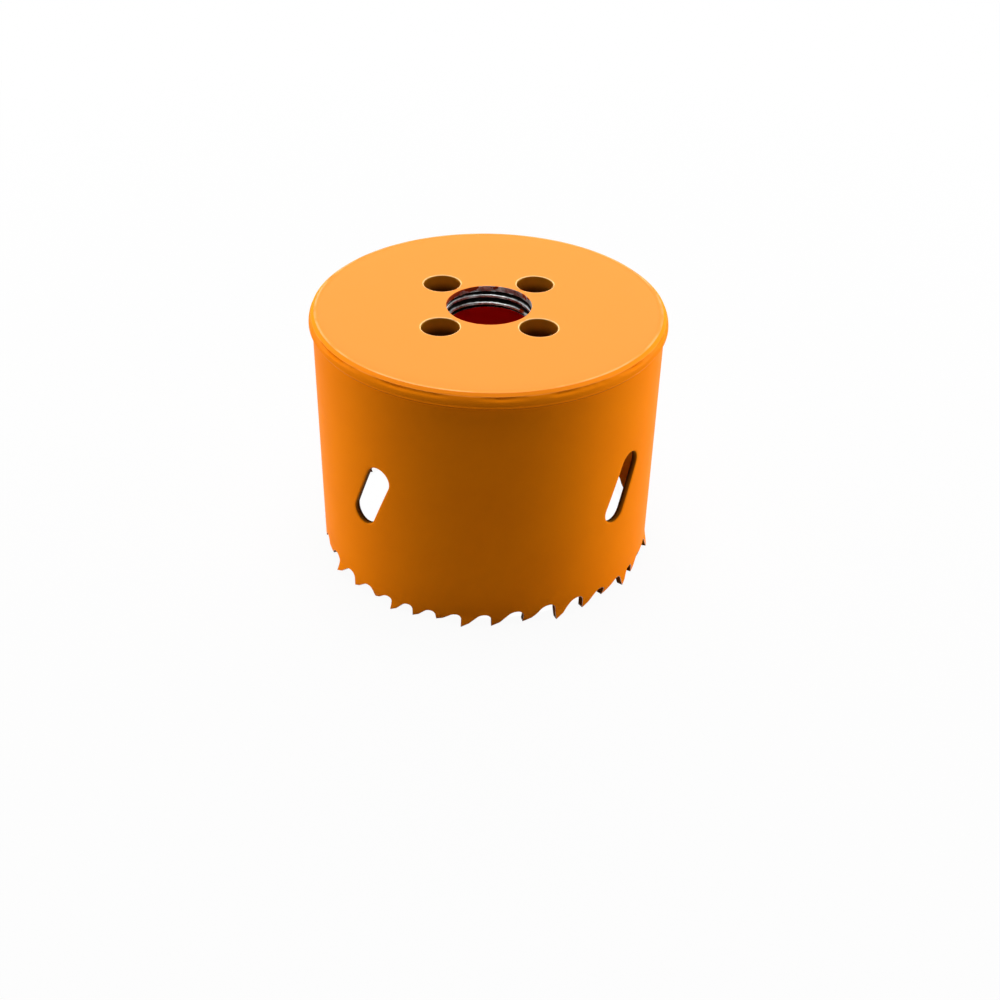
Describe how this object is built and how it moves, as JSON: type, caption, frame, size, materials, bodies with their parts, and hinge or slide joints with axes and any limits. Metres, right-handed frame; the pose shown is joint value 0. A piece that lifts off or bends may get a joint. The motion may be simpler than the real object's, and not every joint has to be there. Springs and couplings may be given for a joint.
{
  "type": "hole saw",
  "caption": "Cup-shaped hole saw with a variable-pitch set tooth edge, slanted clearing slots and a threaded end plate with drive-pin holes.",
  "frame": {"origin": "on the saw's axis, in the plane of the tooth tips on which it stands", "axes": "+Z along the axis from the teeth to the end plate; -Y is the side the picture shows"},
  "size_m": [0.06, 0.06, 0.045],
  "materials": {
    "orange_enamel": "semi-gloss orange enamel over steel",
    "bare_steel": "bare machined steel of the thread"
  },
  "bodies": {
    "root": {"end_plate": "orange_enamel", "rim_weld": "orange_enamel", "saw_shell": "orange_enamel", "tooth_edge": "orange_enamel"}
  },
  "joints": []
}
